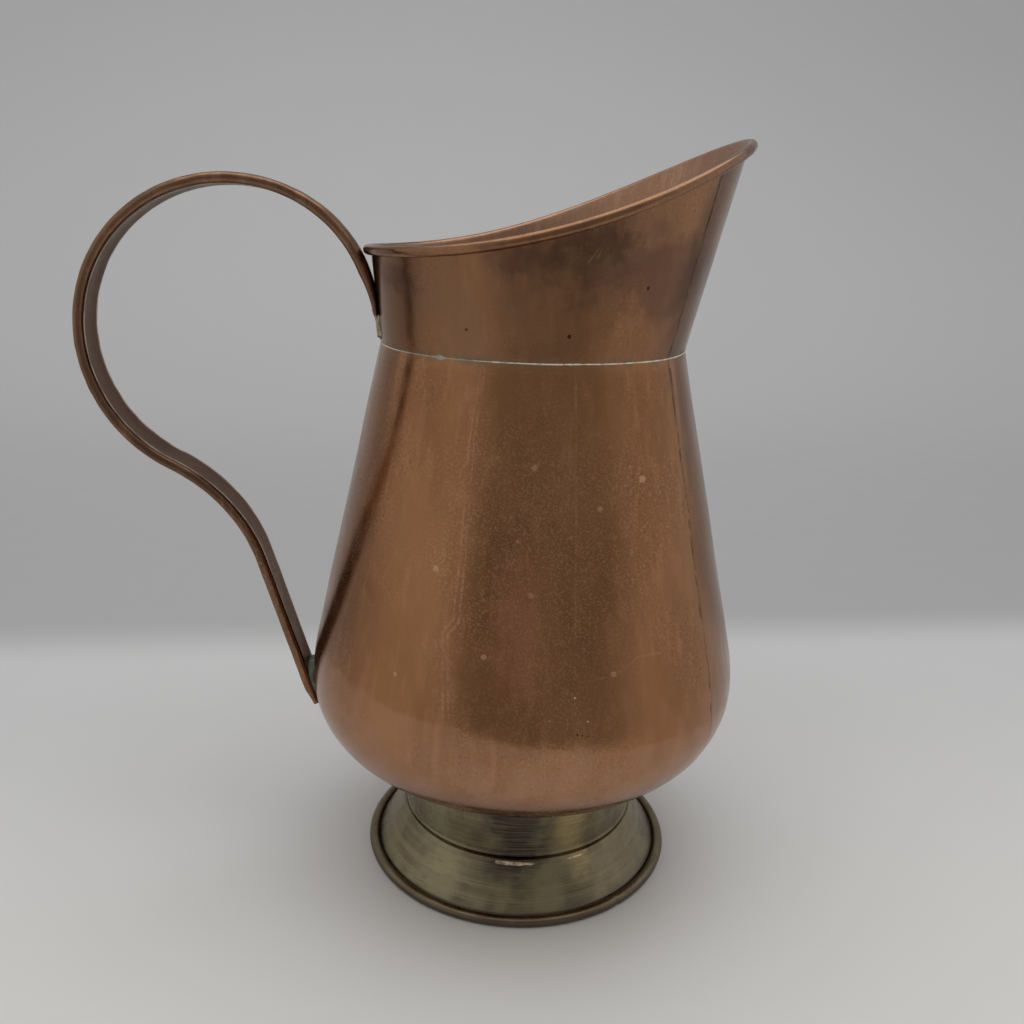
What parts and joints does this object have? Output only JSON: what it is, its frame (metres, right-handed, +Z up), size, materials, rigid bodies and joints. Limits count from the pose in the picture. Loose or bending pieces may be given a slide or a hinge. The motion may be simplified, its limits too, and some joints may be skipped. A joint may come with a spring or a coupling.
{
  "type": "copper water jug",
  "caption": "Tall copper water jug with a flared scoop lip, a round looped strap handle with rolled edges, a rounded belly and a low spun brass foot.",
  "frame": {"origin": "centre of the foot, on the table it stands on", "axes": "+Z up along the jug's axis, +X towards the pouring lip, so the handle is at -X and Y is across the jug"},
  "size_m": [0.2752, 0.188, 0.3179],
  "materials": {
    "copper": "old beaten copper, brown and softly shining",
    "handle_copper": "old copper, darker than the body",
    "foot_brass": "tarnished spun brass with fine turning lines",
    "tin_solder": "dull tin solder",
    "seam_solder": "dark hard solder, dull",
    "verdigris": "green and grey crust over solder, matte",
    "wire": "iron wire"
  },
  "bodies": {
    "root": {"body": "copper", "bottom_disc": "copper", "collar": "copper", "rim_wire": "wire", "handle_strap": "handle_copper", "handle_wire_near": "wire", "handle_wire_far": "wire", "foot_drum": "foot_brass", "foot_skirt": "foot_brass", "foot_wire": "wire", "neck_solder": "tin_solder", "body_seam_solder": "seam_solder", "collar_seam_solder": "seam_solder", "handle_top_solder": "tin_solder", "handle_bottom_solder": "verdigris", "bowl_foot_solder": "seam_solder", "drum_skirt_solder": "tin_solder", "bottom_solder": "tin_solder"}
  },
  "joints": []
}
